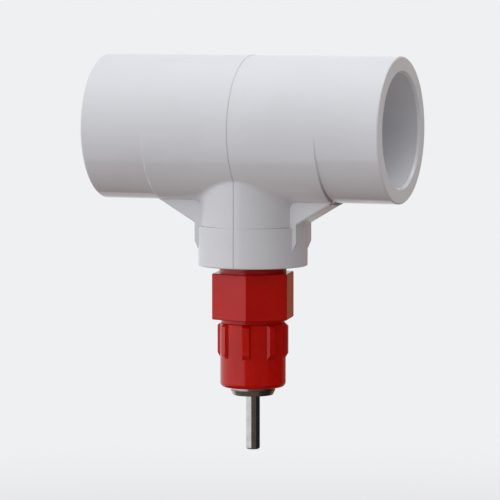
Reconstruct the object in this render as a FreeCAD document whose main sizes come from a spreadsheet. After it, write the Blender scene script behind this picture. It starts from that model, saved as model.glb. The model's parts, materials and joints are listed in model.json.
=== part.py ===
"""Poultry nipple drinker: a push-pin water valve screwed into the branch of a 1/2 inch PVC tee.

The run of the tee lies along X, the branch and the drinker hang down along -Z. The origin is the
middle of the left socket's mouth, where the water line enters. Lengths are in millimetres and
angles in degrees. Each piece is drawn in a frame of its own and put in its place by its Placement.
"""
import FreeCAD
import Part
import Sketcher
import os

from FreeCAD import Placement, Rotation, Vector

# alias, value, what it measures
SIZES = [
    ("run_length", 59.7, "tee, mouth to mouth"),
    ("run_d", 27.8, "tee, outside of the run"),
    ("socket_d", 21.55, "socket for the 1/2 inch pipe"),
    ("socket_depth", 17.5, "socket, mouth to pipe stop"),
    ("socket_lead", 0.45, "socket, entry chamfer"),
    ("stop_height", 1.675, "tee, how far the pipe stops stand in from the sockets"),
    ("mouth_round", 0.3, "tee, rounding of the outer edges"),
    ("centre_length", 35.0, "tee, thicker middle of the run"),
    ("centre_drop", 0.5, "tee, how far the thicker middle stands below the run"),
    ("centre_round", 0.25, "tee, rounding of the thicker middle's ends"),
    ("neck_length", 4.2, "tee, neck of the branch below the run"),
    ("collar_height", 7.65, "tee, collar"),
    ("branch_d", 20.9, "tee, collar round the branch's mouth"),
    ("ledge", 0.5, "tee, step from the neck to the collar, below the run"),
    ("ledge_front", 0.05, "tee, the same step at the front and the back"),
    ("branch_fillet", 1.4, "tee, fillet between the neck and the run"),
    ("gusset_thickness", 8.5, "tee, web under the run"),
    ("gusset_end", 1.0, "tee, end of the web beyond the thicker middle's end"),
    ("gusset_root", 0.4, "tee, how far the web's top stands in the run's wall"),
    ("gusset_inset", 0.15, "tee, foot of the web inside the collar's outermost line"),
    ("foot_above", 0.5, "tee, top corner of the web's foot above the ledge"),
    ("foot_below", 2.85, "tee, straight part of the foot below the ledge"),
    ("foot_bevel", 1.4, "tee, height of the bevel that ends the foot"),
    ("bevel_inset", 0.6, "tee, how far that bevel leans in"),
    ("gusset_round", 0.4, "tee, rounding of the web's free edges"),
    ("thread_d", 13.7, "pipe thread, outside diameter at the branch's mouth"),
    ("thread_depth", 12.4, "tee, tapered threaded bore"),
    ("thread_play", 0.05, "clearance at each side of a thread, a spigot or a sleeve"),
    ("thread_taper", 16.0, "pipe thread, length in which its diameter changes by 1"),
    ("thread_shelf", 1.0, "tee, shelf where the threaded bore ends"),
    ("mouth_lead", 0.35, "tee, countersink of the threaded bore"),
    ("shank_gap", 1.4, "body, room left above the threaded shank"),
    ("shank_lead", 0.6, "body, chamfer at the shank's top"),
    ("inlet_play", 0.9, "body, room round the metering pin's head in the water bore"),
    ("neck_height", 1.3, "body, neck seen below the branch"),
    ("neck_step", 0.8, "body, neck to the hexagon's flats"),
    ("hex_height", 8.85, "body, hexagon"),
    ("hex_step", 1.15, "body, shoulder to the hexagon's flats"),
    ("hex_round", 0.25, "body, rounding of the hexagon's edges"),
    ("hex_turn", -18.5, "body, how far it is screwed round"),
    ("shoulder_height", 0.7, "body, shoulder that the cap meets"),
    ("shoulder_step", 0.2, "body, shoulder inside the cap's outside"),
    ("chamber_d", 7.0, "body, valve chamber"),
    ("spigot_wall", 0.7, "body, wall between the chamber and the O-ring's rebate"),
    ("body_ring_d", 0.95, "O-ring at the spigot's end, section"),
    ("upper_ring_d", 0.8, "O-ring above the upper seat, section"),
    ("ring_play", 0.05, "clearance round an O-ring's section"),
    ("cap_height", 12.44, "cap"),
    ("cap_wall", 1.03, "cap, wall between the ribs"),
    ("cap_lip", 1.74, "cap, inner lip that holds the lower seat"),
    ("cap_round", 0.95, "cap, rounding of the lower edge"),
    ("cap_lead", 0.25, "cap, chamfer of the upper edge, which runs on over the ribs"),
    ("cap_lead_slope", 38.0, "cap, that chamfer's angle to the level"),
    ("rib_count", 8, "cap, ribs"),
    ("rib_height", 0.52, "cap, how far a rib stands out"),
    ("rib_width", 1.2, "cap, outer face of a rib"),
    ("rib_draft", 25.0, "cap, lean of a rib's sides"),
    ("rib_length", 6.7, "cap, rib with its sloping lower end"),
    ("rib_slope", 32.0, "cap, lean of that end"),
    ("rib_step", 0.04, "cap, height at which that end stops above the wall"),
    ("rib_turn", 9.2, "cap, how far it is screwed round"),
    ("flange_height", 1.2, "lower seat, flange clamped by the cap"),
    ("nose_height", 1.55, "lower seat, nose below the cap"),
    ("nose_rim", 1.15, "lower seat, face of the nose round its bore"),
    ("nose_taper", 0.47, "lower seat, how far the nose draws in below the cap"),
    ("nose_lip", 0.32, "lower seat, straight lip below the cap"),
    ("nose_groove", 0.12, "lower seat, depth of the turned groove below that lip"),
    ("stem_play", 0.41, "lower seat, room round the stem at the seat"),
    ("seat_land", 0.4, "lower seat, straight part of the hole"),
    ("seat_round", 0.35, "lower seat, rounding of the nose"),
    ("stem_d", 2.68, "trigger pin, stem"),
    ("stem_reach", 10.45, "trigger pin, stem below the nose"),
    ("stem_lead", 0.25, "trigger pin, chamfer at the tip"),
    ("head_play", 0.6, "trigger pin, head to the wall of the chamber"),
    ("head_height", 1.5, "trigger pin, head"),
    ("head_lead", 0.2, "trigger pin, chamfer round the head"),
    ("trigger_tilt", 14.0, "trigger pin, largest tilt"),
    ("tilt_play", 0.1, "clearance beside the stem at its largest tilt"),
    ("lift_play", 0.34, "clearance above the head at its largest tilt"),
    ("upper_seat_height", 2.4, "upper seat"),
    ("upper_seat_play", 0.02, "clearance at each side of the upper seat"),
    ("metering_stem_d", 1.8, "metering pin, stem"),
    ("orifice_play", 0.3, "upper seat, water gap round the metering pin's stem"),
    ("orifice_land", 0.6, "metering pin, how far its head reaches over the upper seat"),
    ("metering_head_height", 1.3, "metering pin, head"),
    ("metering_lead", 0.3, "metering pin, chamfers"),
    ("metering_gap", 0.02, "metering pin, tip above the trigger pin's head"),
]

# Sizes that follow from those, from the inside of the valve outwards.
SOCKET_R = "(Sizes.socket_d / 2)"
WATERWAY_R = f"({SOCKET_R} - Sizes.stop_height)"
THREAD_R = "(Sizes.thread_d / 2)"
THREADED_BORE_R = f"({THREAD_R} + Sizes.thread_play)"
BODY_REBATE = "(Sizes.body_ring_d + Sizes.ring_play)"
CHAMBER_R = "(Sizes.chamber_d / 2)"
SPIGOT_R = f"({CHAMBER_R} + Sizes.spigot_wall + {BODY_REBATE})"
CAP_BORE_R = f"({SPIGOT_R} + Sizes.thread_play)"
CAP_R = f"({CAP_BORE_R} + Sizes.cap_wall)"
SHOULDER_R = f"({CAP_R} - Sizes.shoulder_step)"
HEX_R = f"({SHOULDER_R} + Sizes.hex_step)"
NECK_R = f"({HEX_R} - Sizes.neck_step)"
ORIFICE_R = "(Sizes.metering_stem_d / 2 + Sizes.orifice_play)"
METERING_HEAD_R = f"({ORIFICE_R} + Sizes.orifice_land)"
INLET_R = f"({METERING_HEAD_R} + Sizes.inlet_play)"
UPPER_SEAT_R = f"({CHAMBER_R} - Sizes.upper_seat_play)"
UPPER_REBATE = "(Sizes.upper_ring_d + Sizes.ring_play)"

# The trigger pin rocks on the rim of its head, and its stem swings across the lower seat's bore.
TILT = "(Sizes.trigger_tilt * 1 deg)"
STEM_R = "(Sizes.stem_d / 2)"
HEAD_R = f"({CHAMBER_R} - Sizes.head_play)"
RIM_R = f"({HEAD_R} - Sizes.head_lead)"
SLEEVE_LENGTH = "(Sizes.flange_height + Sizes.cap_lip + Sizes.nose_height)"
SEAT_HOLE_R = f"({STEM_R} + Sizes.stem_play)"
FLARE_R = (f"({SLEEVE_LENGTH} * tan({TILT}) + {RIM_R} * (1 / cos({TILT}) - 1)"
           f" + {STEM_R} / cos({TILT}) + Sizes.tilt_play)")
NOSE_R = f"({FLARE_R} + Sizes.nose_rim)"
SLEEVE_R = f"({NOSE_R} + Sizes.nose_taper)"
CHAMBER_HEIGHT = f"(2 * {RIM_R} * sin({TILT}) + Sizes.head_height * cos({TILT}) + Sizes.lift_play)"

# Heights below the run's axis, each from the sizes that stack up to it.
LEDGE_DROP = "(Sizes.run_d / 2 + Sizes.centre_drop + Sizes.neck_length)"
WEB_CORNER_DROP = f"({LEDGE_DROP} - Sizes.foot_above)"
MOUTH_DROP = f"({LEDGE_DROP} + Sizes.collar_height)"
CAP_DROP = f"({MOUTH_DROP} + Sizes.neck_height + Sizes.hex_height + Sizes.shoulder_height)"
SEAT_DROP = f"({CAP_DROP} + Sizes.cap_height - Sizes.cap_lip - Sizes.flange_height)"
UPPER_SEAT_DROP = f"({SEAT_DROP} - {CHAMBER_HEIGHT} - Sizes.upper_seat_height)"


TOUCH = 1e-4  # how close two coordinates count as the same


def make_sheet(doc):
    """The spreadsheet of driving dimensions, one named number to a row."""
    sheet = doc.addObject("Spreadsheet::Sheet", "Sizes")
    for row, (alias, value, note) in enumerate(SIZES, start=1):
        sheet.set(f"A{row}", note)
        sheet.set(f"B{row}", str(value))
        sheet.setAlias(f"B{row}", alias)
    doc.recompute()
    return sheet


def bind(item, expressions):
    """Tie each of the item's properties to its expression."""
    for path, expression in expressions.items():
        item.setExpression(path, expression)


# ---------------------------------------------------------------- sketches

def new_body(doc, label, drop, turn="0"):
    """An empty body on the branch's axis, `drop` below the run's axis and turned about Z."""
    body = doc.addObject("PartDesign::Body", label)
    body.Label = label
    body.Placement = Placement(Vector(0, 0, 0), Rotation(Vector(0, 0, 1), 1))
    bind(body, {"Placement.Base.x": "Sizes.run_length / 2",
                "Placement.Base.z": f"-{drop}",
                "Placement.Rotation.Angle": f"{turn} * 1 deg"})
    return body


def origin_item(body, role):
    """One of the body's own planes or axes."""
    return [item for item in body.Origin.OriginFeatures if item.Role == role][0]


def new_sketch(body, name, role, rise="0"):
    """A sketch on one of the body's own planes, moved `rise` along the plane's normal."""
    sketch = body.newObject("Sketcher::SketchObject", name)
    sketch.AttachmentSupport = [(origin_item(body, role), "")]
    sketch.MapMode = "FlatFace"
    bind(sketch, {"AttachmentOffset.Base.z": rise})
    return sketch


def fix_distance(sketch, kind, geometry, point, expression, axis):
    """Hold one coordinate of a sketch point at an expression's value, or on the axis at 0."""
    if expression == "0":
        sketch.addConstraint(Sketcher.Constraint("PointOnObject", geometry, point, axis))
        return
    value = float(sketch.evalExpression(expression))
    index = sketch.addConstraint(Sketcher.Constraint(kind, -1, 1, geometry, point, value))
    sketch.setExpression(f"Constraints[{index}]", expression)


def fix_point(sketch, geometry, point, across, up):
    """Hold a sketch point at (across, up), each of which is an expression."""
    fix_distance(sketch, "DistanceX", geometry, point, across, -2)
    fix_distance(sketch, "DistanceY", geometry, point, up, -1)


def draw_outline(sketch, corners):
    """A closed outline of straight sides through corners given as pairs of expressions."""
    points = []
    for across, up in corners:
        x, y = float(sketch.evalExpression(across)), float(sketch.evalExpression(up))
        points.append(Vector(x, y, 0))
    sides = list(zip(points, points[1:] + points[:1]))
    for start, end in sides:
        sketch.addGeometry(Part.LineSegment(start, end), False)
    for side in range(len(sides)):
        following = (side + 1) % len(sides)
        sketch.addConstraint(Sketcher.Constraint("Coincident", side, 2, following, 1))
    for side, (across, up) in enumerate(corners):
        fix_point(sketch, side, 1, across, up)


def draw_circle(sketch, radius_size, up="0"):
    """A circle on the vertical axis of a sketch, its centre at height `up`."""
    radius = float(sketch.evalExpression(radius_size))
    centre = Vector(0, float(sketch.evalExpression(up)), 0)
    circle = sketch.addGeometry(Part.Circle(centre, Vector(0, 0, 1), radius), False)
    fix_point(sketch, circle, 3, "0", up)
    index = sketch.addConstraint(Sketcher.Constraint("Radius", circle, radius))
    sketch.setExpression(f"Constraints[{index}]", radius_size)


def draw_ellipse(sketch, across, up):
    """An ellipse round a sketch's origin, taller than wide, from its half width and half height."""
    half_width = float(sketch.evalExpression(across))
    half_height = float(sketch.evalExpression(up))
    shape = Part.Ellipse(Vector(0, half_height, 0), Vector(half_width, 0, 0), Vector(0, 0, 0))
    ellipse = sketch.addGeometry(shape, False)
    sketch.exposeInternalGeometry(ellipse)
    major, minor = ellipse + 1, ellipse + 2
    sketch.addConstraint(Sketcher.Constraint("Coincident", ellipse, 3, -1, 1))
    fix_point(sketch, major, 1, "0", up)
    fix_distance(sketch, "DistanceX", minor, 2, across, -2)


# ---------------------------------------------------------------- features

def pad(body, name, sketch, length, symmetric=False, down=False):
    feature = body.newObject("PartDesign::Pad", name)
    feature.Profile = sketch
    feature.SideType = "Symmetric" if symmetric else "One side"
    feature.Reversed = down
    bind(feature, {"Length": length})
    body.Document.recompute()
    return feature


def revolve(body, name, sketch, kind="PartDesign::Revolution", axis="V_Axis"):
    feature = body.newObject(kind, name)
    feature.Profile = sketch
    feature.ReferenceAxis = (sketch, [axis])
    feature.Angle = 360
    body.Document.recompute()
    return feature


def dress_edges(body, name, kind, size, wanted):
    """Round or chamfer those edges of the body so far for which wanted(edge) is true."""
    base = body.Tip
    names = [f"Edge{number}" for number, edge in enumerate(base.Shape.Edges, start=1) if wanted(edge)]
    feature = body.newObject(kind, name)
    feature.Base = (base, names)
    bind(feature, {"Radius" if kind.endswith("Fillet") else "Size": size})
    body.Document.recompute()
    return feature


def turned_piece(doc, label, drop, corners, turn="0"):
    """A body turned about its Z axis from an outline of (radius, height) corners."""
    body = new_body(doc, label, drop, turn)
    sketch = new_sketch(body, f"{label}_profile", "XZ_Plane")
    draw_outline(sketch, corners)
    revolve(body, f"{label}_turned", sketch)
    return body


def round_rim(body, name, size, radius, drop):
    """Rounds the outer edge of a turned body's lower end, at `drop` below its origin."""
    rim = float(body.Tip.evalExpression(radius))
    bottom = -float(body.Tip.evalExpression(drop))

    def on_rim(edge):
        box = edge.BoundBox
        return abs(box.ZMax - bottom) < TOUCH and abs(box.XMax - rim) < TOUCH

    dress_edges(body, name, "PartDesign::Fillet", size, on_rim)


def turned_cut(body, name, corners):
    """Cuts away what an outline of (radius, height) corners sweeps round the body's Z axis."""
    sketch = new_sketch(body, f"{name}_profile", "XZ_Plane")
    draw_outline(sketch, corners)
    revolve(body, name, sketch, "PartDesign::Groove")


# ---------------------------------------------------------------- the tee

def make_run(body):
    """The pipe run and its thicker middle, the same cylinder a little lower, with rounded ends."""
    sketch = new_sketch(body, "centre_circle", "YZ_Plane")
    draw_circle(sketch, "Sizes.run_d / 2", "-Sizes.centre_drop")
    pad(body, "centre", sketch, "Sizes.centre_length", symmetric=True)

    def at_an_end(edge):
        return edge.BoundBox.XLength < TOUCH

    dress_edges(body, "centre_rounds", "PartDesign::Fillet", "Sizes.centre_round", at_an_end)
    sketch = new_sketch(body, "run_circle", "YZ_Plane")
    draw_circle(sketch, "Sizes.run_d / 2")
    pad(body, "run", sketch, "Sizes.run_length", symmetric=True)


def make_neck(body):
    """The oval neck of the branch."""
    sketch = new_sketch(body, "neck_oval", "XY_Plane")
    draw_ellipse(sketch, "Sizes.branch_d / 2 - Sizes.ledge", "Sizes.branch_d / 2 - Sizes.ledge_front")
    pad(body, "neck", sketch, LEDGE_DROP, down=True)


def make_gussets(body):
    """The two webs that brace the branch to the run, drawn as one plate across the branch."""
    foot = "(Sizes.branch_d / 2 - Sizes.gusset_inset)"
    foot_end = f"({LEDGE_DROP} + Sizes.foot_below)"
    bevel_end = f"({foot_end} + Sizes.foot_bevel)"
    reach = "(Sizes.centre_length / 2 + Sizes.gusset_end)"
    surface = "sqrt((Sizes.run_d / 2) ^ 2 - (Sizes.gusset_thickness / 2) ^ 2)"
    half = [(reach, f"({surface} - Sizes.gusset_root)"), (reach, surface), (foot, WEB_CORNER_DROP),
            (foot, foot_end), (f"({foot} - Sizes.bevel_inset)", bevel_end)]
    corners = [(across, f"-{drop}") for across, drop in half]
    corners += [(f"-{across}", f"-{drop}") for across, drop in reversed(half)]
    sketch = new_sketch(body, "gusset_outline", "XZ_Plane")
    draw_outline(sketch, corners)
    pad(body, "gussets", sketch, "Sizes.gusset_thickness", symmetric=True)


def round_gussets(body):
    """Softens the long sloping edges of the webs."""
    corner = -float(body.Tip.evalExpression(WEB_CORNER_DROP))

    def sloping(edge):
        box = edge.BoundBox
        return abs(box.ZMin - corner) < TOUCH < min(box.XLength, box.ZLength) and box.YLength < TOUCH

    dress_edges(body, "gusset_rounds", "PartDesign::Fillet", "Sizes.gusset_round", sloping)


def fillet_neck(body):
    """The fillet between the neck and the run, from web to web on both faces."""
    lowest = -float(body.Tip.evalExpression(LEDGE_DROP))
    reach = float(body.Tip.evalExpression("Sizes.branch_d / 2"))

    def joins_run(edge):
        box = edge.BoundBox
        beside = max(abs(box.XMin), abs(box.XMax)) < reach
        return beside and box.ZMax < 0 and box.ZMin > lowest + TOUCH and box.XLength > box.ZLength

    dress_edges(body, "neck_fillet", "PartDesign::Fillet", "Sizes.branch_fillet", joins_run)


def make_collar(body):
    """The round collar at the end of the branch."""
    sketch = new_sketch(body, "collar_circle", "XY_Plane", f"-{LEDGE_DROP}")
    draw_circle(sketch, "Sizes.branch_d / 2")
    pad(body, "collar", sketch, "Sizes.collar_height", down=True)


def bore_tee(body):
    """The two sockets with their pipe stops, and the tapered bore of the branch."""
    mouth, stop = "(Sizes.run_length / 2)", "(Sizes.run_length / 2 - Sizes.socket_depth)"
    half = [(mouth, f"({SOCKET_R} + Sizes.socket_lead)"), (f"({mouth} - Sizes.socket_lead)", SOCKET_R),
            (stop, SOCKET_R), (stop, WATERWAY_R)]
    corners = [(mouth, "0")] + half
    corners += [(f"-{across}", up) for across, up in reversed(half)] + [(f"-{mouth}", "0")]
    sketch = new_sketch(body, "sockets_profile", "XY_Plane")
    draw_outline(sketch, corners)
    revolve(body, "sockets", sketch, "PartDesign::Groove", "H_Axis")

    narrow = f"({THREADED_BORE_R} - Sizes.thread_depth / Sizes.thread_taper / 2)"
    core = f"({narrow} - Sizes.thread_shelf)"
    thread_top = f"({MOUTH_DROP} - Sizes.thread_depth)"
    turned_cut(body, "branch_bore", [
        ("0", "0"), (core, "0"), (core, f"-{thread_top}"), (narrow, f"-{thread_top}"),
        (THREADED_BORE_R, f"-({MOUTH_DROP} - Sizes.mouth_lead)"),
        (f"{THREADED_BORE_R} + Sizes.mouth_lead", f"-{MOUTH_DROP}"), ("0", f"-{MOUTH_DROP}")])


def make_pipe_tee(doc):
    """The moulded PVC tee."""
    body = new_body(doc, "pipe_tee", "0")
    make_run(body)
    make_neck(body)
    make_gussets(body)
    fillet_neck(body)
    round_gussets(body)
    make_collar(body)
    mouth = float(body.Tip.evalExpression("Sizes.run_length / 2"))
    lowest = -float(body.Tip.evalExpression(MOUTH_DROP))

    def outer_edge_of_a_mouth(edge):
        centre = edge.BoundBox.Center
        return abs(abs(centre.x) - mouth) < TOUCH or abs(centre.z - lowest) < TOUCH

    dress_edges(body, "mouth_rounds", "PartDesign::Fillet", "Sizes.mouth_round", outer_edge_of_a_mouth)
    bore_tee(body)
    return body


# ---------------------------------------------------------------- the drinker's moulded pieces

def make_nipple_body(doc):
    """The red body: tapered shank, neck, hexagon, shoulder and spigot, bored through."""
    shank_top = "(Sizes.thread_depth - Sizes.shank_gap)"
    shank_top_r = f"({THREAD_R} - {shank_top} / Sizes.thread_taper / 2)"
    hex_end = "(Sizes.neck_height + Sizes.hex_height)"
    shoulder_end = f"({CAP_DROP} - {MOUTH_DROP})"
    spigot_end = f"({SEAT_DROP} - {MOUTH_DROP})"
    upper_seat_top = f"({UPPER_SEAT_DROP} - {MOUTH_DROP})"
    rebate_top = f"({spigot_end} - {BODY_REBATE})"
    body = turned_piece(doc, "nipple_body", MOUTH_DROP, [
        ("0", shank_top), (f"{shank_top_r} - Sizes.shank_lead", shank_top),
        (shank_top_r, f"{shank_top} - Sizes.shank_lead"), (THREAD_R, "0"),
        (NECK_R, "0"), (NECK_R, f"-{hex_end}"),
        (SHOULDER_R, f"-{hex_end}"), (SHOULDER_R, f"-{shoulder_end}"),
        (SPIGOT_R, f"-{shoulder_end}"), (SPIGOT_R, f"-{rebate_top}"),
        (f"{SPIGOT_R} - {BODY_REBATE}", f"-{rebate_top}"),
        (f"{SPIGOT_R} - {BODY_REBATE}", f"-{spigot_end}"), ("0", f"-{spigot_end}"),
    ], "Sizes.hex_turn")

    sketch = new_sketch(body, "hexagon", "XY_Plane", "-Sizes.neck_height")
    corner = f"(2 * {HEX_R} / sqrt(3))"
    draw_outline(sketch, [(f"{corner} * cos({60 * side} deg)", f"{corner} * sin({60 * side} deg)")
                          for side in range(6)])
    pad(body, "hexagon_pad", sketch, "Sizes.hex_height", down=True)
    inside = max(float(sketch.evalExpression(size)) for size in (THREAD_R, NECK_R, SHOULDER_R))

    def on_hexagon(edge):
        return min(Vector(end.X, end.Y, 0).Length for end in edge.Vertexes) > inside + TOUCH

    dress_edges(body, "hexagon_rounds", "PartDesign::Fillet", "Sizes.hex_round", on_hexagon)
    turned_cut(body, "bores", [
        ("0", shank_top), (INLET_R, shank_top), (INLET_R, f"-{upper_seat_top}"),
        (CHAMBER_R, f"-{upper_seat_top}"), (CHAMBER_R, f"-{spigot_end}"), ("0", f"-{spigot_end}")])
    return body


def make_nipple_cap(doc):
    """The ribbed screw cap, whose inner lip clamps the lower seat."""
    lip = f"({SLEEVE_R} + Sizes.thread_play)"
    lip_top = "-(Sizes.cap_height - Sizes.cap_lip)"
    body = turned_piece(doc, "nipple_cap", CAP_DROP, [
        (CAP_BORE_R, "0"), (CAP_R, "0"), (CAP_R, "-Sizes.cap_height"),
        (lip, "-Sizes.cap_height"), (lip, lip_top), (CAP_BORE_R, lip_top)], "Sizes.rib_turn")
    round_rim(body, "cap_round", "Sizes.cap_round", CAP_R, "Sizes.cap_height")
    make_ribs(body)
    return body


def make_ribs(body):
    """The drafted ribs of the cap, each bevelled at the top and running out into the wall below."""
    root = f"({CAP_BORE_R} / 2 + {CAP_R} / 2)"
    tip = f"({CAP_R} + Sizes.rib_height)"
    half_tip = "Sizes.rib_width / 2"
    half_root = f"({half_tip} + ({tip} - {root}) * tan(Sizes.rib_draft * 1 deg))"
    sketch = new_sketch(body, "rib_section", "XY_Plane")
    draw_outline(sketch, [(root, f"-{half_root}"), (tip, f"-{half_tip}"),
                          (tip, half_tip), (root, half_root)])
    rib = pad(body, "rib", sketch, "Sizes.rib_length", down=True)
    ribs = body.newObject("PartDesign::PolarPattern", "ribs")
    ribs.Originals = [rib]
    ribs.Axis = (origin_item(body, "Z_Axis"), [""])
    ribs.Angle = 360
    bind(ribs, {"Occurrences": "Sizes.rib_count"})
    body.Tip = ribs
    body.Document.recompute()

    clear = f"({tip} + Sizes.rib_height)"
    lead = f"({CAP_R} - Sizes.cap_lead)"
    turned_cut(body, "upper_bevel", [
        (lead, "0"), (clear, "0"), (clear, f"-({clear} - {lead}) * tan(Sizes.cap_lead_slope * 1 deg)")])
    foot = f"({CAP_R} + Sizes.rib_step)"
    runout = f"({clear} - {foot}) / tan(Sizes.rib_slope * 1 deg)"
    turned_cut(body, "rib_runouts", [
        (foot, "-Sizes.rib_length"), (clear, f"-(Sizes.rib_length - {runout})"),
        (clear, "-Sizes.rib_length")])


# ---------------------------------------------------------------- the steel pieces

def make_lower_seat(doc):
    """The steel sleeve: a flange with the valve seat, and a bore that widens for the tilting stem."""
    lip_end = "(Sizes.flange_height + Sizes.cap_lip + Sizes.nose_lip)"
    groove_end = f"({lip_end} + 2 * Sizes.nose_groove)"
    body = turned_piece(doc, "lower_seat", SEAT_DROP, [
        (SEAT_HOLE_R, "0"), (SPIGOT_R, "0"),
        (SPIGOT_R, "-Sizes.flange_height"), (SLEEVE_R, "-Sizes.flange_height"),
        (SLEEVE_R, f"-{lip_end}"),
        (f"{SLEEVE_R} - Sizes.nose_groove", f"-({lip_end} + Sizes.nose_groove)"),
        (SLEEVE_R, f"-{groove_end}"),
        (NOSE_R, f"-{SLEEVE_LENGTH}"), (FLARE_R, f"-{SLEEVE_LENGTH}"),
        (SEAT_HOLE_R, "-Sizes.seat_land")])
    round_rim(body, "nose_round", "Sizes.seat_round", NOSE_R, SLEEVE_LENGTH)
    return body


def make_trigger_pin(doc):
    """The pin that the bird pushes: a flat head on the lower seat and a plain stem."""
    length = f"({SLEEVE_LENGTH} + Sizes.stem_reach)"
    return turned_piece(doc, "trigger_pin", SEAT_DROP, [
        ("0", "Sizes.head_height"), (f"{HEAD_R} - Sizes.head_lead", "Sizes.head_height"),
        (HEAD_R, "Sizes.head_height - Sizes.head_lead"), (HEAD_R, "Sizes.head_lead"),
        (RIM_R, "0"), (STEM_R, "0"), (STEM_R, f"-({length} - Sizes.stem_lead)"),
        (f"{STEM_R} - Sizes.stem_lead", f"-{length}"), ("0", f"-{length}")])


def make_upper_seat(doc):
    """The small seat above the chamber, with a rebate for its O-ring."""
    step = f"({UPPER_SEAT_R} - {UPPER_REBATE})"
    return turned_piece(doc, "upper_seat", UPPER_SEAT_DROP, [
        (ORIFICE_R, "0"), (step, "0"), (step, f"-{UPPER_REBATE}"), (UPPER_SEAT_R, f"-{UPPER_REBATE}"),
        (UPPER_SEAT_R, "-Sizes.upper_seat_height"), (ORIFICE_R, "-Sizes.upper_seat_height")])


def make_metering_pin(doc):
    """The inner pin: its head closes the upper seat and its stem ends above the trigger's head."""
    head, stem = METERING_HEAD_R, "(Sizes.metering_stem_d / 2)"
    length = f"(Sizes.upper_seat_height + {CHAMBER_HEIGHT} - Sizes.head_height - Sizes.metering_gap)"
    return turned_piece(doc, "metering_pin", UPPER_SEAT_DROP, [
        ("0", "Sizes.metering_head_height"),
        (f"{head} - Sizes.metering_lead", "Sizes.metering_head_height"),
        (head, "Sizes.metering_head_height - Sizes.metering_lead"), (head, "0"), (stem, "0"),
        (stem, f"-({length} - Sizes.metering_lead)"),
        (f"{stem} - Sizes.metering_lead", f"-{length}"), ("0", f"-{length}")])


# ---------------------------------------------------------------- the rubber pieces

def make_ring(doc, label, section, outside, drop):
    """An O-ring of the given section inside a bore of radius `outside`, its middle at `drop`."""
    ring = doc.addObject("Part::Torus", label)
    ring.Label = label
    bind(ring, {"Radius1": f"{outside} - Sizes.ring_play / 2 - {section} / 2",
                "Radius2": f"{section} / 2",
                "Placement.Base.x": "Sizes.run_length / 2",
                "Placement.Base.z": f"-({drop})"})
    doc.recompute()
    return ring


def make_rings(doc):
    """The two O-rings, each in the middle of its rebate."""
    return [make_ring(doc, "body_o_ring", "Sizes.body_ring_d", CAP_BORE_R,
                      f"{SEAT_DROP} - {BODY_REBATE} / 2"),
            make_ring(doc, "upper_o_ring", "Sizes.upper_ring_d", CHAMBER_R,
                      f"{UPPER_SEAT_DROP} + {UPPER_REBATE} / 2")]


# ---------------------------------------------------------------- building and writing

def check(doc, pieces):
    """Stops if any feature failed or any piece isn't one valid solid."""
    for item in doc.Objects:
        if "Invalid" in item.State or "Error" in item.State:
            raise RuntimeError(f"{item.Label} failed: {item.State}")
    for piece in pieces:
        if piece.Shape.isNull() or not piece.Shape.isValid() or len(piece.Shape.Solids) != 1:
            raise RuntimeError(f"{piece.Label} is not one valid solid")


def main():
    doc = FreeCAD.newDocument("nipple_drinker")
    make_sheet(doc)
    pieces = [make_pipe_tee(doc), make_nipple_body(doc), make_nipple_cap(doc), make_lower_seat(doc),
              make_trigger_pin(doc), make_upper_seat(doc), make_metering_pin(doc)] + make_rings(doc)
    doc.recompute()
    check(doc, pieces)
    os.makedirs("parts", exist_ok=True)
    for piece in pieces:
        piece.Shape.exportStep(os.path.join("parts", f"{piece.Label}.step"))
        box = piece.Shape.BoundBox
        print(f"{piece.Label}: {piece.Shape.Volume:.1f} mm3, X {box.XMin:.2f} to {box.XMax:.2f}, "
              f"Z {box.ZMin:.2f} to {box.ZMax:.2f}")


main()
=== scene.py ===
"""Looks for the poultry nipple drinker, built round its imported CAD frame. Lengths are in metres."""

import json
import math

import bmesh
import bpy
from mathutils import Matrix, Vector


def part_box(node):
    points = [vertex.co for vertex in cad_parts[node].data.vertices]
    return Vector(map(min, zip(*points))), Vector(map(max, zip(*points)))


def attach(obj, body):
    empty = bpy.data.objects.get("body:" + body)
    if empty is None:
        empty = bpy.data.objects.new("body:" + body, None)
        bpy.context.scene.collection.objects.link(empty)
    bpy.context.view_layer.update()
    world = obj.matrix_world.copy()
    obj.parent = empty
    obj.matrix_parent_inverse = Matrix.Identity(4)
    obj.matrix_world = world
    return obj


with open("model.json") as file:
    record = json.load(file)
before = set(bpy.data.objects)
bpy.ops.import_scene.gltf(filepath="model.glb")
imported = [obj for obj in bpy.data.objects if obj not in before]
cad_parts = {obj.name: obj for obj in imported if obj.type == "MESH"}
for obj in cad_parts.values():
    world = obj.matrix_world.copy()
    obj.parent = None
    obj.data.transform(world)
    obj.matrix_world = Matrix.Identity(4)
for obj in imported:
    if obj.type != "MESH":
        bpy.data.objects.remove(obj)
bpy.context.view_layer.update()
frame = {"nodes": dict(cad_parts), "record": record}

MM = 0.001
TEE_LOW, TEE_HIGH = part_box("pipe_tee")
AXIS_X = (TEE_LOW.x + TEE_HIGH.x) / 2   # the branch's axis
RUN_R = (TEE_HIGH.y - TEE_LOW.y) / 2    # outside of the run

# ---------------------------------------------------------------- materials

PVC_LIGHT, PVC_DARK, PVC_SPECK = (0.775, 0.78, 0.80), (0.73, 0.735, 0.755), (0.6, 0.6, 0.62)
# Painted shade at the right end of the tee's thicker middle: its colour, how much of it, and the
# roughness it adds.
PAINTED_END_SHADE, PAINTED_END_SHADE_DEPTH, PAINTED_END_SHADE_ROUGHNESS = (0.30, 0.28, 0.265, 1), 0.8, 0.5
MIDDLE_END = 17.48 * MM                 # right end of the tee's thicker middle, from the axis
RED_DARK, RED_LIGHT = (0.51, 0.0018, 0.0002, 1), (0.57, 0.0028, 0.0003, 1)
STEEL_DARK, STEEL_LIGHT = (0.60, 0.585, 0.575, 1), (0.70, 0.69, 0.68, 1)
RUBBER_DARK, RUBBER_LIGHT = (0.012, 0.012, 0.012, 1), (0.03, 0.03, 0.03, 1)


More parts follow.
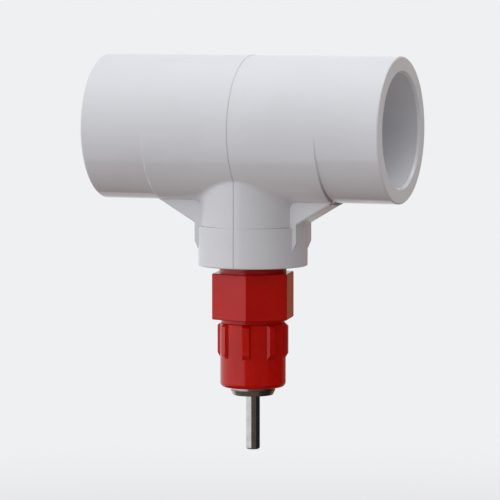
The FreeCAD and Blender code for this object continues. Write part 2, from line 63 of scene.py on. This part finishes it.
class Nodes:
    """The node tree of a material or world, with one call for each kind of node used here."""

    def __init__(self, owner):
        self.owner = owner
        owner.use_nodes = True
        self.tree = owner.node_tree
        self.tree.nodes.clear()
        self.places = self.add("ShaderNodeTexCoord").outputs
        self.coordinates = self.places["Object"]

    def add(self, kind, **settings):
        node = self.tree.nodes.new(kind)
        for key, value in settings.items():
            setattr(node, key, value)
        return node

    def feed(self, socket, value):
        """Links a socket to another one, or sets it to a constant."""
        if isinstance(value, bpy.types.NodeSocket):
            self.tree.links.new(value, socket)
        else:
            socket.default_value = value

    def finish(self, kind, surface):
        """Ends the tree in an output node that shows a surface."""
        self.feed(self.add(kind).inputs["Surface"], surface)

    def math(self, operation, first, second=0.0):
        node = self.add("ShaderNodeMath", operation=operation)
        self.feed(node.inputs[0], first)
        self.feed(node.inputs[1], second)
        return node.outputs[0]

    def vector_math(self, operation, first, second=None):
        node = self.add("ShaderNodeVectorMath", operation=operation)
        self.feed(node.inputs[0], first)
        if second is not None:
            node.inputs[1].default_value = second
        return node.outputs["Value" if operation in ("LENGTH", "DOT_PRODUCT") else "Vector"]

    def ramp(self, value, low, high, start=0.0, end=1.0):
        """Goes smoothly from low to high while a value goes from start to end."""
        node = self.add("ShaderNodeMapRange", interpolation_type="SMOOTHSTEP")
        self.feed(node.inputs["Value"], value)
        for socket, number in (("From Min", start), ("From Max", end),
                               ("To Min", low), ("To Max", high)):
            node.inputs[socket].default_value = number
        return node.outputs["Result"]

    def noise(self, scale, detail=2.0, roughness=0.5, vector=None):
        node = self.add("ShaderNodeTexNoise")
        node.inputs["Scale"].default_value = scale
        node.inputs["Detail"].default_value = detail
        node.inputs["Roughness"].default_value = roughness
        self.feed(node.inputs["Vector"], self.coordinates if vector is None else vector)
        return node.outputs["Fac"]

    def mix(self, factor, first, second):
        node = self.add("ShaderNodeMix", data_type="RGBA")
        self.feed(node.inputs["Factor"], factor)
        self.feed(node.inputs["A"], first)
        self.feed(node.inputs["B"], second)
        return node.outputs["Result"]


class Finish(Nodes):
    """A surface of one shader, with places counted from the branch's axis."""

    def __init__(self, name):
        super().__init__(bpy.data.materials.new(name))
        self.shader = self.add("ShaderNodeBsdfPrincipled")
        self.finish("ShaderNodeOutputMaterial", self.shader.outputs["BSDF"])

    def surface(self, colour, roughness, normal, **constants):
        """Sets the shader: three sockets that may vary, and others that are the same all over."""
        self.feed(self.shader.inputs["Base Color"], colour)
        self.feed(self.shader.inputs["Roughness"], roughness)
        self.feed(self.shader.inputs["Normal"], normal)
        for name, value in constants.items():
            self.shader.inputs[name].default_value = value
        return self.owner

    def bump(self, height, distance, strength, under=None):
        node = self.add("ShaderNodeBump")
        node.inputs["Strength"].default_value = strength
        node.inputs["Distance"].default_value = distance
        self.feed(node.inputs["Height"], height)
        if under is not None:
            self.feed(node.inputs["Normal"], under)
        return node.outputs["Normal"]

    def stretched(self, scale):
        """The object's coordinates, scaled along each axis."""
        node = self.add("ShaderNodeMapping")
        node.inputs["Scale"].default_value = scale
        self.feed(node.inputs["Vector"], self.coordinates)
        return node.outputs["Vector"]

    def place(self):
        """X from the branch's axis, Y and Z."""
        split = self.add("ShaderNodeSeparateXYZ")
        self.feed(split.inputs[0], self.coordinates)
        x = self.math("SUBTRACT", split.outputs["X"], AXIS_X)
        return x, split.outputs["Y"], split.outputs["Z"]

    def square_sum(self, first, second):
        return self.math("ADD", self.math("MULTIPLY", first, first),
                         self.math("MULTIPLY", second, second))

    def painted_end_shade(self):
        """Painted shade: the end face in the corner at the right end of the tee's thicker middle, low
        down.

        It is a thin line along that end, and broader where the end stands below the run. The
        socket inside is left without it.
        """
        x, y, z = self.place()
        off = self.math("ABSOLUTE", self.math("SUBTRACT", x, MIDDLE_END))
        corner = self.math("MULTIPLY",
                           self.ramp(off, 1, 0, start=0.08 * MM, end=0.24 * MM),
                           self.ramp(z, 1, 0, start=-0.95 * RUN_R, end=-0.5 * RUN_R))
        foot = self.math("MULTIPLY",
                         self.ramp(off, 1, 0, start=0.4 * MM, end=0.6 * MM),
                         self.ramp(z, 1, 0, start=-1.0 * RUN_R, end=-0.985 * RUN_R))
        outside = self.math("GREATER_THAN", self.square_sum(y, z), (0.9 * RUN_R) ** 2)
        return self.math("MULTIPLY", self.math("MAXIMUM", corner, foot), outside)


def white_pvc(name="white_pvc", shade=1.0):
    """Moulded PVC with a satin gloss, faint flow lines along the run and a few dark specks.

    The corner at the right end of the thicker middle is darker, as painted shade, and rougher.
    """
    n = Finish(name)
    light, dark, speck = ((red * shade, green * shade, blue * shade, 1)
                          for red, green, blue in (PVC_LIGHT, PVC_DARK, PVC_SPECK))
    patches = n.ramp(n.noise(scale=45, detail=3), 0, 1, start=0.3, end=0.7)
    specks = n.ramp(n.noise(scale=2600), 0, 0.25, start=0.62, end=0.8)
    colour = n.mix(specks, n.mix(patches, dark, light), speck)
    # Painted shade: the corner at the right end of the thicker middle is darkened and made rougher.
    painted_end_shade = n.painted_end_shade()
    colour = n.mix(n.math("MULTIPLY", painted_end_shade, PAINTED_END_SHADE_DEPTH), colour, PAINTED_END_SHADE)
    gloss = n.ramp(n.noise(scale=300, detail=3), 0.07, 0.13, start=0.3, end=0.7)
    roughness = n.math("ADD", gloss, n.math("MULTIPLY", painted_end_shade, PAINTED_END_SHADE_ROUGHNESS))
    flow = n.noise(scale=1, detail=3, roughness=0.6, vector=n.stretched((40, 1500, 1500)))
    flow_lines = n.bump(flow, distance=0.004 * MM, strength=0.5)
    peel = n.bump(n.noise(scale=700), distance=0.010 * MM, strength=0.4, under=flow_lines)
    return n.surface(colour, roughness, peel, IOR=1.53)


def red_plastic():
    """Moulded acetal: deep red, smooth, with a faint mottle and handling marks in its gloss."""
    n = Finish("red_plastic")
    mottle = n.ramp(n.noise(scale=150, detail=3), 0, 1, start=0.3, end=0.7)
    marks = n.noise(scale=900, detail=4, roughness=0.6)
    peel = n.bump(n.noise(scale=900), distance=0.006 * MM, strength=0.4)
    return n.surface(n.mix(mottle, RED_DARK, RED_LIGHT),
                     n.ramp(marks, 0.12, 0.20, start=0.35, end=0.7), peel, IOR=1.48)


def stainless(name="stainless", roughness=(0.08, 0.18), ring_depth=0.002 * MM):
    """Turned stainless steel: fine rings round the branch's axis in its gloss and height."""
    n = Finish(name)
    x, y, z = n.place()
    along = n.add("ShaderNodeCombineXYZ")
    n.feed(along.inputs["X"], n.math("ADD", n.math("SQRT", n.square_sum(x, y)), z))
    rings = n.noise(scale=9000, roughness=0.6, vector=along.outputs[0])
    tarnish = n.ramp(n.noise(scale=700, detail=3), 0, 1, start=0.35, end=0.7)
    return n.surface(n.mix(tarnish, STEEL_DARK, STEEL_LIGHT),
                     n.ramp(rings, *roughness, start=0.3, end=0.7),
                     n.bump(rings, ring_depth, strength=0.5), Metallic=1.0)


def black_rubber():
    """Moulded rubber with a fine grain."""
    n = Finish("black_rubber")
    grain = n.noise(scale=2500, detail=3)
    return n.surface(n.mix(grain, RUBBER_DARK, RUBBER_LIGHT),
                     n.ramp(grain, 0.55, 0.75, start=0.3, end=0.7),
                     n.bump(grain, distance=0.02 * MM, strength=0.5))


MATERIALS = {"white_pvc": white_pvc(), "red_plastic": red_plastic(),
             "stainless": stainless(), "black_rubber": black_rubber()}

for entry in frame["record"]["subparts"]:
    mesh = frame["nodes"][entry["node"]].data
    mesh.materials.clear()
    mesh.materials.append(MATERIALS[entry["material_slot"]])

# The lower seat's nose is turned and left so, where the pins are polished.
frame["nodes"]["lower_seat"].data.materials[0] = stainless(
    "turned_steel", roughness=(0.2, 0.32), ring_depth=0.005 * MM)

# ---------------------------------------------------------------- strips on the tee


def add_strip(name, rings, material):
    """Closes rings of places into a thin solid strip on the tee, as a piece of its own."""
    shape = bmesh.new()
    rings = [[shape.verts.new(place) for place in ring] for ring in rings]
    count = len(rings[0])
    for ring, following in zip(rings, rings[1:]):
        for side in range(count):
            other = (side + 1) % count
            shape.faces.new((ring[side], ring[other], following[other], following[side]))
    shape.faces.new(rings[0])
    shape.faces.new(rings[-1][::-1])
    bmesh.ops.recalc_face_normals(shape, faces=shape.faces)
    mesh = bpy.data.meshes.new(name)
    shape.to_mesh(mesh)
    shape.free()
    mesh.materials.append(material)
    piece = bpy.data.objects.new(name, mesh)
    bpy.context.scene.collection.objects.link(piece)
    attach(piece, "fitting")


# ---------------------------------------------------------------- the mould's parting line

LINE_WIDTH, LINE_HEIGHT, LINE_DEPTH = 0.22 * MM, 0.05 * MM, 0.06 * MM
LINE_SECTION = ((-0.5, -LINE_DEPTH), (-0.5, 0), (-0.25, LINE_HEIGHT),   # share of width, height
                (0.25, LINE_HEIGHT), (0.5, 0), (0.5, -LINE_DEPTH))
LINE_END = TEE_LOW.z + 0.1 * MM         # just above the tee's lowest edge
WELD, CLOSEST = 0.001 * MM, 0.02 * MM   # vertices taken as one, and points left out as too near
# The parting line's PVC is darker than the tee's, as painted shade along the ridge.
PARTING_PAINTED_SHADE = 0.74


def outline_at_axis():
    """The tee's outline where the mould parts, as (y, z) points down one side from the top."""
    shape = bmesh.new()
    shape.from_mesh(frame["nodes"]["pipe_tee"].data)
    bmesh.ops.remove_doubles(shape, verts=shape.verts, dist=WELD)
    everything = shape.verts[:] + shape.edges[:] + shape.faces[:]
    cut = bmesh.ops.bisect_plane(shape, geom=everything, dist=1e-7, plane_co=(AXIS_X, 0, 0),
                                 plane_no=(1, 0, 0))["geom_cut"]
    neighbours = {}
    for edge in cut:
        if isinstance(edge, bmesh.types.BMEdge):
            for vert in edge.verts:
                neighbours.setdefault(vert, []).append(edge.other_vert(vert))
    here = max(neighbours, key=lambda vert: vert.co.z)
    following = min(neighbours[here], key=lambda vert: vert.co.y)
    points = []
    while here.co.z > LINE_END:
        if not points or (here.co.yz - points[-1]).length > CLOSEST:
            points.append(here.co.yz)
        before, here = here, following
        following = next(vert for vert in neighbours[here] if vert is not before)
    shape.free()
    return points


def make_parting_line(name, mirror):
    """The thin ridge that the mould's halves leave, laid along the outline on one side, in PVC
    darkened as painted shade.
    """
    points = outline_at_axis()
    rings = []
    for index, point in enumerate(points):
        before, after = points[max(index - 1, 0)], points[min(index + 1, len(points) - 1)]
        along = (after - before).normalized()
        out = Vector((along.y, -along.x))
        rings.append([(AXIS_X + across * LINE_WIDTH, mirror * (point.x + up * out.x),
                       point.y + up * out.y) for across, up in LINE_SECTION])
    add_strip(name, rings, PAINTED_SHADE_PARTING_PVC)


PAINTED_SHADE_PARTING_PVC = white_pvc("parting_pvc", PARTING_PAINTED_SHADE)
make_parting_line("parting_line_front", 1)
make_parting_line("parting_line_back", -1)

# ---------------------------------------------------------------- the corner on the collar's ledge, in PVC darkened as painted shade

LEDGE_Z = TEE_LOW.z + 7.65 * MM         # the collar's upper edge, where the oval neck ends
ABOVE_LEDGE, BELOW_LEDGE = 0.1 * MM, 0.5 * MM   # where the neck's and the collar's radius is taken
CORNER_HEIGHT, CORNER_WIDTH, CORNER_SUNK = 0.15 * MM, 0.10 * MM, 0.04 * MM
NARROW, WIDE = 0.02 * MM, 0.14 * MM     # ledges with no corner and with a full one
WITHIN_LEDGE = 0.8                      # the most of the ledge's width that the corner takes
TRIM = 0.01 * MM                        # keeps the corner inside the tee where it is nothing
TOP_SUNK = 0.005 * MM                   # how far the corner's upper edge stands in the neck
CORNER_END = math.radians(63)           # just before the webs, from the front or the back
CORNER_STEPS = 42                       # rings from the middle to each end
# The corner's PVC is darker than the tee's: painted shade where the neck shades the ledge.
CORNER_PAINTED_SHADE = 0.68


def tee_radius(outward, height):
    """How far the tee's outside lies from the branch's axis, in a direction and at a height."""
    start = Vector((AXIS_X, 0, height)) + 2 * RUN_R * outward
    _, place, *_ = frame["nodes"]["pipe_tee"].ray_cast(start, -outward)
    return math.hypot(place.x - AXIS_X, place.y)


def make_painted_shade_corner(name, mirror):
    """The small radius where neck and ledge meet, darkened as painted shade: nothing in the middle,
    more to the sides.
    """
    rings = []
    for step in range(-CORNER_STEPS, CORNER_STEPS + 1):
        angle = step / CORNER_STEPS * CORNER_END
        outward = Vector((math.sin(angle), -mirror * math.cos(angle), 0))
        neck = tee_radius(outward, LEDGE_Z + ABOVE_LEDGE)
        ledge = tee_radius(outward, LEDGE_Z - BELOW_LEDGE) - neck
        share = min(max((ledge - NARROW) / (WIDE - NARROW), 0), 1)
        width = min(share * CORNER_WIDTH, WITHIN_LEDGE * ledge) - TRIM
        height = share * CORNER_HEIGHT - TRIM
        section = ((-CORNER_SUNK, -CORNER_SUNK), (width, -CORNER_SUNK), (width, 0.2 * height),
                   (0.35 * width, 0.7 * height), (-TOP_SUNK, height), (-CORNER_SUNK, height))
        rings.append([(AXIS_X + (neck + across) * outward.x, (neck + across) * outward.y,
                       LEDGE_Z + up) for across, up in section])
    add_strip(name, rings, PAINTED_SHADE_CORNER_PVC)


PAINTED_SHADE_CORNER_PVC = white_pvc("corner_pvc", CORNER_PAINTED_SHADE)
make_painted_shade_corner("collar_corner_painted_shade_front", 1)
make_painted_shade_corner("collar_corner_painted_shade_back", -1)

# ---------------------------------------------------------------- floor, light and camera

PALE = (0.86, 0.87, 0.885, 1)           # the background
VIEW_AZIMUTH = math.radians(21)         # the main camera's, as seen from above

FLOOR_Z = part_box("trigger_pin")[0].z - 60 * MM
FLOOR_R = 0.8
FLOOR_DARK, FLOOR_LIGHT = (0.355, 0.30, 0.285, 1), (0.385, 0.33, 0.31, 1)   # under the light
FLOOR_PALE = 0.6, 1.0                   # how much of it is background, near the part and far off
FADE_START, FADE_END = 0.1 * FLOOR_R, 0.6 * FLOOR_R

SKY_COLOUR = (0.945, 0.965, 1.0, 1)
SKY, SKY_SIDE = 0.465, 1.17             # the sky all round, and more of it on the left
SKY_SIDE_AZIMUTH = -80

SCREEN_R, SCREEN_TOP = 0.4, 0.26        # radius and height of the dark screen
SCREEN_FADE = 0.6 * SCREEN_TOP          # where it starts to fade towards its top
SCREEN_START, SCREEN_STOP = -45, 175    # its ends, in degrees to the main camera's right
MAT_R = 0.125                           # the dark mat under the part
AROUND_STEP = 5                         # degrees from one vertex to the next
DARK_FRONT, DARK_RIGHT = (0.10, 0.08, 0.062, 1), (0.012, 0.016, 0.02, 1)
DARK_BACK = (0.24, 0.14, 0.09, 1)
SCREEN_TONES = ((90, 0.7, 0.9, DARK_RIGHT),     # way, how near to it the tone starts and is full
                (150, 0.93, 0.97, DARK_BACK),
                (-105, 0.2, 0.3, PALE),
                (180, 0.98, 0.995, PALE))

LAMP_AZIMUTH, LAMP_ELEVATION = 75, 62
LAMP_DISTANCE, LAMP_SIZE, LAMP_RADIANCE = 1.1, 0.9, 1.62
LAMP_AIM = Vector((AXIS_X, 0, -20 * MM))

CAMERA_PLACE = (0.28012, -0.65296, 0.03171)
CAMERA_AIM = (0.02932, -0.00020, -0.02332)
CAMERA_LENS = 264.4


def direction(azimuth, elevation=0):
    """The unit vector at an azimuth, counted from the main camera's to its right, and a height."""
    around = VIEW_AZIMUTH + math.radians(azimuth)
    up = math.radians(elevation)
    return Vector((math.sin(around) * math.cos(up), -math.cos(around) * math.cos(up), math.sin(up)))


class Studio(Nodes):
    """Nodes for the world and what stands round the part."""

    def emission(self, kind, colour, strength=1.0):
        node = self.add(kind)
        self.feed(node.inputs["Color"], colour)
        self.feed(node.inputs["Strength"], strength)
        return node.outputs[0]

    def choose(self, factor, first, second):
        node = self.add("ShaderNodeMixShader")
        for socket, value in zip(node.inputs, (factor, first, second)):
            self.feed(socket, value)
        return node.outputs[0]

    def facing(self, outward, azimuth):
        """How far a direction points a given way: 1 straight along it, 0 or less away from it."""
        return self.vector_math("DOT_PRODUCT", outward, direction(azimuth))

    def seen(self):
        """1 for the rays that show the background: the camera's, gloss's and glass's."""
        path = self.add("ShaderNodeLightPath").outputs
        straight = self.math("MAXIMUM", path["Is Camera Ray"], path["Is Transmission Ray"])
        return self.math("MAXIMUM", straight, path["Is Glossy Ray"])


def place_shape(name, shape):
    """Turns a shape into an object round the branch's axis, with the nodes of its material."""
    mesh = bpy.data.meshes.new(name)
    shape.to_mesh(mesh)
    shape.free()
    piece = bpy.data.objects.new(name, mesh)
    piece.location.x = AXIS_X
    bpy.context.scene.collection.objects.link(piece)
    n = Studio(bpy.data.materials.new(name))
    mesh.materials.append(n.owner)
    return piece, n


def make_floor():
    """A pale disc that takes the shadow, and fades into the background towards its edge."""
    shape = bmesh.new()
    bmesh.ops.create_circle(shape, cap_ends=True, radius=FLOOR_R, segments=96)
    floor, n = place_shape("floor", shape)
    floor.location.z = FLOOR_Z

    diffuse = n.add("ShaderNodeBsdfDiffuse")
    n.feed(diffuse.inputs["Color"], n.mix(n.noise(scale=6, detail=3), FLOOR_DARK, FLOOR_LIGHT))
    pale = n.emission("ShaderNodeEmission", PALE)
    share = n.ramp(n.vector_math("LENGTH", n.coordinates), *FLOOR_PALE, FADE_START, FADE_END)
    surface = n.choose(n.math("MULTIPLY", n.seen(), share), diffuse.outputs[0], pale)
    clear = n.add("ShaderNodeBsdfTransparent").outputs[0]
    from_below = n.add("ShaderNodeNewGeometry").outputs["Backfacing"]
    n.finish("ShaderNodeOutputMaterial", n.choose(from_below, surface, clear))


def make_world():
    """A soft sky for the surfaces, and the pale backdrop for the camera, gloss and glass."""
    n = Studio(bpy.data.worlds.new("studio"))
    bpy.context.scene.world = n.owner
    side = n.math("MAXIMUM", n.facing(n.places["Generated"], SKY_SIDE_AZIMUTH), 0)
    level = n.math("ADD", n.math("MULTIPLY", side, SKY_SIDE), SKY)
    sky = n.emission("ShaderNodeBackground", SKY_COLOUR, level)
    pale = n.emission("ShaderNodeBackground", PALE)
    n.finish("ShaderNodeOutputWorld", n.choose(n.seen(), sky, pale))


def make_screen():
    """A dark mat under the part and a screen from the front round the right, seen by gloss only.

    The screen fades into the pale backdrop at its top and its two ends.
    """
    shape = bmesh.new()
    bottom = FLOOR_Z + 1 * MM
    shape.faces.new([shape.verts.new((*(MAT_R * direction(azimuth)).xy, bottom))
                     for azimuth in range(-180, 180, AROUND_STEP)])
    outline = [(MAT_R, bottom), (SCREEN_R - 40 * MM, bottom),
               (SCREEN_R - 10 * MM, bottom + 10 * MM), (SCREEN_R, bottom + 40 * MM),
               (SCREEN_R, SCREEN_TOP)]
    posts = [[shape.verts.new((reach * way.x, reach * way.y, z)) for reach, z in outline]
             for way in map(direction, range(SCREEN_START, SCREEN_STOP + 1, AROUND_STEP))]
    for post, following in zip(posts, posts[1:]):
        for low, high in zip(range(len(outline)), range(1, len(outline))):
            shape.faces.new((post[low], following[low], following[high], post[high]))
    screen, n = place_shape("screen", shape)
    screen.visible_camera = screen.visible_diffuse = screen.visible_transmission = False
    screen.visible_shadow = False

    level = n.vector_math("MULTIPLY", n.coordinates, (1, 1, 0))
    outward = n.vector_math("NORMALIZE", level)
    height = n.add("ShaderNodeSeparateXYZ")
    n.feed(height.inputs[0], n.coordinates)
    tone = DARK_FRONT
    for azimuth, start, end, colour in SCREEN_TONES:
        tone = n.mix(n.ramp(n.facing(outward, azimuth), 0, 1, start, end), tone, colour)
    tone = n.mix(n.ramp(height.outputs["Z"], 0, 1, SCREEN_FADE, SCREEN_TOP), tone, PALE)

    to_right = n.ramp(n.facing(outward, 90), 0, 1, start=0.5, end=0.9)
    on_mat = n.math("LESS_THAN", n.vector_math("LENGTH", level), MAT_R)
    tone = n.mix(on_mat, tone, n.mix(to_right, DARK_FRONT, DARK_RIGHT))
    n.finish("ShaderNodeOutputMaterial", n.emission("ShaderNodeEmission", tone))


def make_lamp():
    """A soft box at the top right that faces the part, with the radiance that its surface shows."""
    data = bpy.data.lights.new("top_right", "AREA")
    data.shape = "RECTANGLE"
    data.size = data.size_y = LAMP_SIZE
    data.energy = LAMP_RADIANCE * math.pi * LAMP_SIZE ** 2
    lamp = bpy.data.objects.new("top_right", data)
    toward = direction(LAMP_AZIMUTH, LAMP_ELEVATION)
    lamp.location = LAMP_AIM + LAMP_DISTANCE * toward
    lamp.rotation_euler = (-toward).to_track_quat("-Z", "Y").to_euler()
    lamp.visible_camera = False
    bpy.context.scene.collection.objects.link(lamp)


def make_camera():
    """The camera at the photo's viewing angle."""
    data = bpy.data.cameras.new("camera")
    data.lens = CAMERA_LENS
    data.sensor_width = 36.0
    data.clip_start = 0.05
    camera = bpy.data.objects.new("camera", data)
    camera.location = CAMERA_PLACE
    toward = Vector(CAMERA_AIM) - camera.location
    camera.rotation_euler = toward.to_track_quat("-Z", "Y").to_euler()
    bpy.context.scene.collection.objects.link(camera)
    bpy.context.scene.camera = camera


make_floor()
make_world()
make_screen()
make_lamp()
make_camera()
bpy.context.scene.view_settings.view_transform = "Standard"
